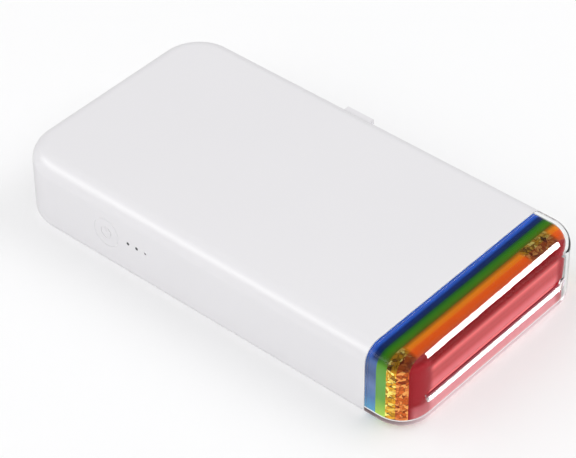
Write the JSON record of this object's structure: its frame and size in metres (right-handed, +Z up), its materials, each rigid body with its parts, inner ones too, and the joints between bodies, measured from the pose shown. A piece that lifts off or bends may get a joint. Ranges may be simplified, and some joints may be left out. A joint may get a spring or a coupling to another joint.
{
  "type": "compact photo printer",
  "caption": "Pocket photo printer: rounded white casing, clear end cap over rainbow bands with a print slot, side door for a paper and ribbon cartridge, and a geared print mechanism inside.",
  "frame": {"origin": "centre of the casing's outline on the surface that the feet stand on", "axes": "+X along the length towards the clear end cap and print slot, +Y towards the cartridge door, +Z up"},
  "size_m": [0.15, 0.0816, 0.025],
  "materials": {
    "casing_white": "glossy",
    "clear_plastic": "clear glossy",
    "blue_plastic": "translucent glossy",
    "green_plastic": "translucent glossy",
    "yellow_plastic": "translucent glossy",
    "orange_plastic": "translucent glossy",
    "red_plastic": "translucent glossy",
    "dark_lens": "glossy",
    "steel": "satin",
    "grey_rubber": "matte",
    "label": "matte",
    "dark_plastic": "matte",
    "gear_plastic": "satin",
    "aluminium": "satin",
    "paper": "smooth",
    "ribbon_film": "glossy film",
    "board_green": "satin",
    "light_white": "glossy",
    "lead_red": "smooth"
  },
  "bodies": {
    "frame": {"top_case": "casing_white", "bottom_case": "casing_white", "hinge_pins": "steel", "end_cap": "clear_plastic", "blue_band": "blue_plastic", "green_band": "green_plastic", "yellow_band": "yellow_plastic", "orange_band": "orange_plastic", "red_band": "red_plastic", "cap_screws": "steel", "exit_guide": "dark_plastic", "light_pipes": "dark_lens", "rubber_feet": "grey_rubber", "case_screws": "steel", "label_plate": "label", "chassis": "dark_plastic", "left_side_plate": "steel", "right_side_plate": "steel", "plate_screws": "steel", "gear_posts": "steel", "motor": "steel", "head_springs": "steel", "main_board": "board_green", "board_chips": "dark_plastic", "usb_socket": "steel", "power_switch": "dark_plastic", "reset_switch": "dark_plastic", "light_chips": "light_white", "battery": "aluminium", "battery_pad": "grey_rubber", "battery_lead": "lead_red", "board_screws": "steel"},
    "door": {"cartridge_door": "casing_white"},
    "button": {"power_button": "casing_white"},
    "cartridge": {"cartridge": "dark_plastic", "paper_stack": "paper", "ribbon": "ribbon_film"},
    "supply_spool": {"supply_spool": "gear_plastic", "supply_ribbon_roll": "ribbon_film"},
    "takeup_spool": {"takeup_spool": "gear_plastic", "takeup_ribbon_roll": "ribbon_film"},
    "head": {"print_head": "aluminium", "head_bracket": "aluminium"},
    "drive_roller": {"drive_roller": "steel", "drive_roller_rubber": "grey_rubber"},
    "pinch_roller": {"pinch_roller": "grey_rubber"},
    "platen": {"platen_roller": "steel", "platen_rubber": "grey_rubber"},
    "pickup": {"pickup_roller": "steel", "pickup_rubber": "grey_rubber"},
    "motor_pinion": {"motor_pinion": "gear_plastic"},
    "reduction_1": {"reduction_gear_1": "gear_plastic"},
    "reduction_2": {"reduction_gear_2": "gear_plastic"},
    "idler": {"idler_gear": "gear_plastic"},
    "takeup_drive": {"takeup_drive": "gear_plastic"}
  },
  "joints": [
    {"name": "door_hinge", "type": "hinge", "parent": "frame", "child": "door", "pos_m": [0, 0.0391, 0.0055], "axis": [-1, 0, 0], "range_deg": [0, 90]},
    {"name": "cartridge_slide", "type": "slide", "parent": "frame", "child": "cartridge", "axis": [0, 1, 0], "range_m": [0, 0.01]},
    {"name": "button_press", "type": "slide", "parent": "frame", "child": "button", "axis": [0, 1, 0], "range_m": [0, 0.0005], "stiffness_N_per_m": 800},
    {"name": "head_lift", "type": "hinge", "parent": "frame", "child": "head", "pos_m": [0.0548, 0, 0.0186], "axis": [0, 1, 0], "range_deg": [0, 3.5], "deforming": ["head_springs"]},
    {"name": "drive_spin", "type": "hinge", "parent": "frame", "child": "drive_roller", "pos_m": [0.0518, 0, 0.0078], "axis": [0, -1, 0], "continuous": true},
    {"name": "takeup_drive_spin", "type": "hinge", "parent": "frame", "child": "takeup_drive", "pos_m": [0.043, 0, 0.0152], "axis": [0, -1, 0], "continuous": true},
    {"name": "reduction_2_spin", "type": "hinge", "parent": "frame", "child": "reduction_2", "pos_m": [0.03303, 0, 0.0144], "axis": [0, -1, 0], "continuous": true},
    {"name": "reduction_1_spin", "type": "hinge", "parent": "frame", "child": "reduction_1", "pos_m": [0.02269, 0, 0.0126], "axis": [0, -1, 0], "continuous": true},
    {"name": "motor_spin", "type": "hinge", "parent": "frame", "child": "motor_pinion", "pos_m": [0.01368, 0, 0.018], "axis": [0, -1, 0], "continuous": true},
    {"name": "idler_spin", "type": "hinge", "parent": "frame", "child": "idler", "pos_m": [0.01574, 0, 0.01176], "axis": [0, -1, 0], "continuous": true},
    {"name": "pickup_spin", "type": "hinge", "parent": "frame", "child": "pickup", "pos_m": [0.014, 0, 0.0055], "axis": [0, -1, 0], "continuous": true},
    {"name": "platen_spin", "type": "hinge", "parent": "frame", "child": "platen", "pos_m": [0.035, 0, 0.0064], "axis": [0, -1, 0], "continuous": true},
    {"name": "pinch_spin", "type": "hinge", "parent": "frame", "child": "pinch_roller", "pos_m": [0.0518, 0, 0.01215], "axis": [0, -1, 0], "continuous": true},
    {"name": "takeup_spool_spin", "type": "hinge", "parent": "cartridge", "child": "takeup_spool", "pos_m": [0.043, 0, 0.0152], "axis": [0, -1, 0], "continuous": true},
    {"name": "supply_spool_spin", "type": "hinge", "parent": "cartridge", "child": "supply_spool", "pos_m": [0.026, 0, 0.0152], "axis": [0, -1, 0], "continuous": true}
  ],
  "couplings": [
    {"joint": "door_hinge", "follows": "cartridge_slide", "rad_per_m": 157.08},
    {"joint": "takeup_drive_spin", "follows": "drive_spin", "ratio": -0.64286},
    {"joint": "reduction_2_spin", "follows": "drive_spin", "ratio": 1.5},
    {"joint": "reduction_1_spin", "follows": "drive_spin", "ratio": -3.75},
    {"joint": "motor_spin", "follows": "drive_spin", "ratio": 12},
    {"joint": "idler_spin", "follows": "drive_spin", "ratio": 2.8125},
    {"joint": "pickup_spin", "follows": "drive_spin", "ratio": -4.5},
    {"joint": "platen_spin", "follows": "drive_spin", "ratio": 0.61111},
    {"joint": "pinch_spin", "follows": "drive_spin", "ratio": -1.1},
    {"joint": "takeup_spool_spin", "follows": "drive_spin", "ratio": -0.64286},
    {"joint": "supply_spool_spin", "follows": "drive_spin", "ratio": -0.40909}
  ]
}
